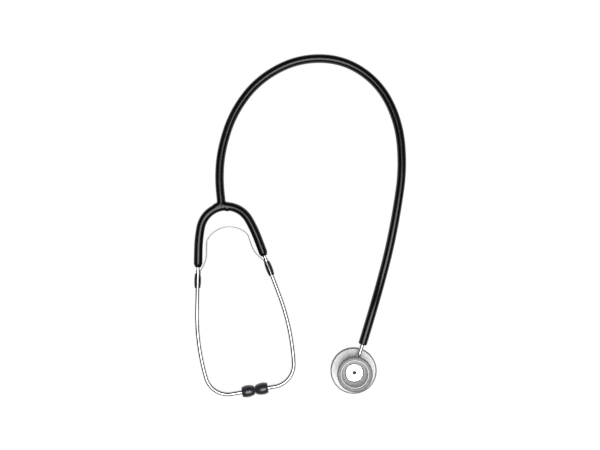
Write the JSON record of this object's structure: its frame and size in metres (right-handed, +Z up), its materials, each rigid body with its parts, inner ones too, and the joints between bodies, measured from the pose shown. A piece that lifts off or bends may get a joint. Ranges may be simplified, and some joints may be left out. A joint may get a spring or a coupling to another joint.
{
  "type": "stethoscope",
  "caption": "Stethoscope with a two-sided turning chest piece, a single black hose, a Y with sprung legs and two bent chrome ear tubes with black tips.",
  "frame": {"origin": "middle of the diaphragm side of the chest piece, on the table that the stethoscope lies on", "axes": "+Z up, out of the table and through the bell; the stem points 17 degrees from +Y towards +X; the headset lies on the -X side with its ear tips towards -Y"},
  "size_m": [0.205, 0.3307, 0.024],
  "materials": {
    "chest_metal": "bright plated and polished, finely turned",
    "grey_soft_ring": "satin grey soft plastic, slightly mottled",
    "dark_rim": "smooth dark grey plastic, so that it isn't cold on the skin",
    "membrane": "smooth translucent epoxy-glass sheet",
    "steel": "plain bright steel",
    "stem_metal": "satin chrome, turned",
    "black_hose": "smooth glossy black soft PVC",
    "spring_steel": "bright rolled spring steel",
    "clip_plastic": "glossy black plastic",
    "tube_chrome": "mirror chrome",
    "ear_tip_plastic": "satin to glossy black moulded plastic"
  },
  "bodies": {
    "root": {"main_tube": "black_hose", "yoke": "black_hose", "leaf_spring": "spring_steel", "stem": "stem_metal"},
    "chest_head": {"head_body": "chest_metal", "bell_ring": "grey_soft_ring", "diaphragm": "membrane", "diaphragm_rim": "dark_rim", "detent_ball": "steel", "detent_spring": "steel", "detent_screw": "steel"},
    "ear_left": {"yoke_leg_left": "black_hose", "spring_clip_left": "clip_plastic", "ear_tube_left": "tube_chrome", "ear_tip_left": "ear_tip_plastic"},
    "ear_right": {"yoke_leg_right": "black_hose", "spring_clip_right": "clip_plastic", "ear_tube_right": "tube_chrome", "ear_tip_right": "ear_tip_plastic"}
  },
  "joints": [
    {"name": "head_swivel", "type": "hinge", "parent": "root", "child": "chest_head", "pos_m": [0, 0, 0.0095], "axis": [0.2924, 0.9563, 0], "continuous": true},
    {"name": "open_left", "type": "hinge", "parent": "root", "child": "ear_left", "pos_m": [-0.12924, 0.1407, 0.00459], "axis": [0.0013, -0.0073, -1], "range_deg": [0, 25], "stiffness_Nm_per_rad": 1.2, "springref_deg": -5.73, "deforming": ["yoke_leg_left", "leaf_spring"]},
    {"name": "open_right", "type": "hinge", "parent": "root", "child": "ear_right", "pos_m": [-0.11939, 0.14239, 0.00459], "axis": [-0.0013, 0.0073, 1], "range_deg": [0, 18], "stiffness_Nm_per_rad": 1.2, "springref_deg": -5.73, "deforming": ["yoke_leg_right", "leaf_spring"]}
  ]
}
